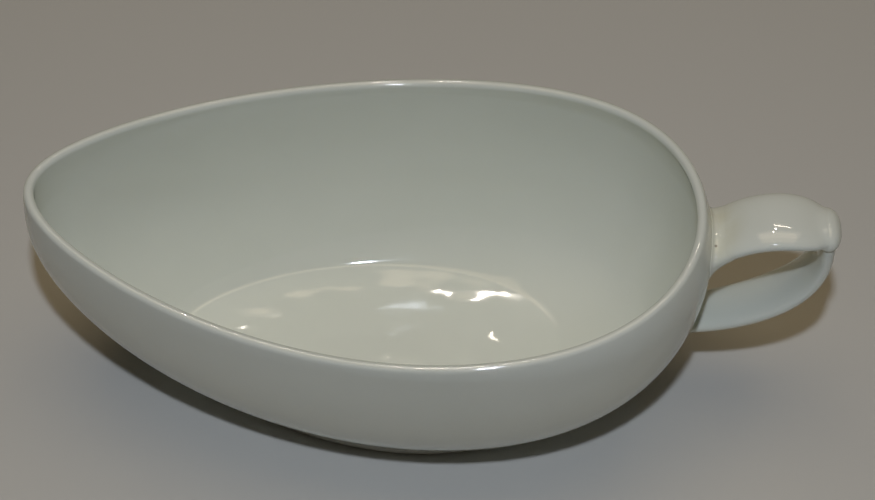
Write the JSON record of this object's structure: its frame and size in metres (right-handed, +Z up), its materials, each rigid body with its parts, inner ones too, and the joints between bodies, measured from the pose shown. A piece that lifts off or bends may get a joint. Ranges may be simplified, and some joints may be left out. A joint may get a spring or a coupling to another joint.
{
  "type": "bourdaloue",
  "caption": "Open porcelain hand vessel with an egg-shaped plan, saddle-shaped rim, foot ring and a strap handle ending in a thumb roll.",
  "frame": {"origin": "middle of the overall length and width, on the surface that the foot ring stands on", "axes": "+X from the narrow tip to the handle, +Y across the bowl, +Z up"},
  "size_m": [0.2588, 0.1206, 0.0876],
  "materials": {
    "glazed_porcelain": "clear gloss glaze",
    "bare_porcelain": "bare, ground smooth"
  },
  "bodies": {
    "root": {"bowl": "glazed_porcelain", "foot_ring": "bare_porcelain", "handle_arm": "glazed_porcelain", "thumb_roll": "glazed_porcelain", "handle_strap": "glazed_porcelain", "upper_slip": "glazed_porcelain", "lower_slip": "glazed_porcelain"}
  },
  "joints": []
}
